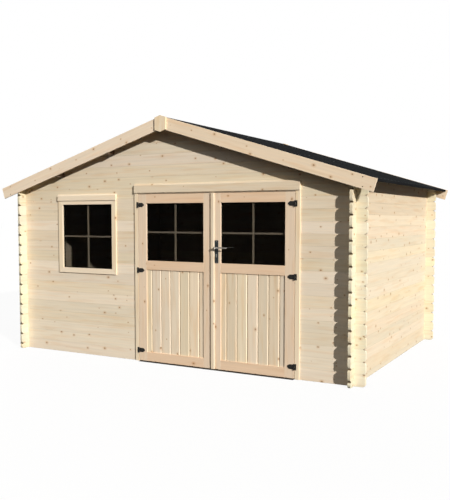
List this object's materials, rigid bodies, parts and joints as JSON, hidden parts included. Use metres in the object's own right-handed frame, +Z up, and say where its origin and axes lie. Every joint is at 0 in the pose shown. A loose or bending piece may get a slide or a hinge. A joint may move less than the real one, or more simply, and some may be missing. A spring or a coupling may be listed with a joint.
{
  "type": "garden shed",
  "caption": "Hollow log-built garden shed with notched corners, a low felted gable roof, a glazed window and a pair of half-glazed doors that swing outward.",
  "frame": {"origin": "on the ground at the middle of the plan", "axes": "+X along the front to the right, +Y from the front to the rear, +Z up"},
  "size_m": [4.424, 3.044, 2.5336],
  "materials": {
    "pine_logs": "planed, untreated",
    "roof_boards": "planed, untreated",
    "roofing_felt": "matt mineral",
    "pine_trim": "planed, untreated",
    "door_pine": "planed, untreated",
    "pane": "clear, dark room behind",
    "black_iron": "satin black",
    "lock_plate": "satin dark grey",
    "satin_metal": "satin"
  },
  "bodies": {
    "shed": {"front_wall_below_window": "pine_logs", "front_wall_left_of_window": "pine_logs", "front_wall_window_to_door": "pine_logs", "front_wall_over_window": "pine_logs", "front_wall_right_of_doors": "pine_logs", "front_gable": "pine_logs", "rear_wall": "pine_logs", "left_side_wall": "pine_logs", "right_side_wall": "pine_logs", "ridge_beam": "roof_boards", "roof_purlins": "roof_boards", "roof_deck_left": "roof_boards", "roof_deck_right": "roof_boards", "roof_felt_left": "roofing_felt", "roof_felt_right": "roofing_felt", "front_barge_left": "pine_trim", "front_barge_right": "pine_trim", "rear_barge_left": "pine_trim", "rear_barge_right": "pine_trim", "front_ridge_block": "pine_trim", "rear_ridge_block": "pine_trim", "window_frame": "pine_trim", "window_drip": "pine_trim", "door_jamb_left": "pine_trim", "door_jamb_right": "pine_trim", "door_head": "pine_trim", "door_header_board": "pine_trim", "window_pane": "pane", "frame_hinges_left": "black_iron", "frame_hinges_right": "black_iron"},
    "left_door": {"left_door_stiles": "door_pine", "left_door_rails": "door_pine", "left_door_panel": "door_pine", "left_door_pane": "pane", "left_door_straps": "black_iron"},
    "right_door": {"right_door_stiles": "door_pine", "right_door_rails": "door_pine", "right_door_panel": "door_pine", "right_door_pane": "pane", "right_door_straps": "black_iron", "cover_strip": "pine_trim", "lock_plate_outside": "lock_plate", "lock_plate_inside": "lock_plate", "lock_cylinder": "satin_metal"},
    "lever": {"lever_handle": "satin_metal"}
  },
  "joints": [
    {"name": "left_door_hinge", "type": "hinge", "parent": "shed", "child": "left_door", "pos_m": [-0.3615, -1.4065, 0], "axis": [0, 0, -1], "range_deg": [0, 165]},
    {"name": "right_door_hinge", "type": "hinge", "parent": "shed", "child": "right_door", "pos_m": [1.4135, -1.4065, 0], "axis": [0, 0, 1], "range_deg": [0, 165]},
    {"name": "lever_turn", "type": "hinge", "parent": "right_door", "child": "lever", "pos_m": [0.5795, -1.399, 1.22], "axis": [0, 1, 0], "range_deg": [0, 40], "stiffness_Nm_per_rad": 2, "springref_deg": -14.32}
  ]
}
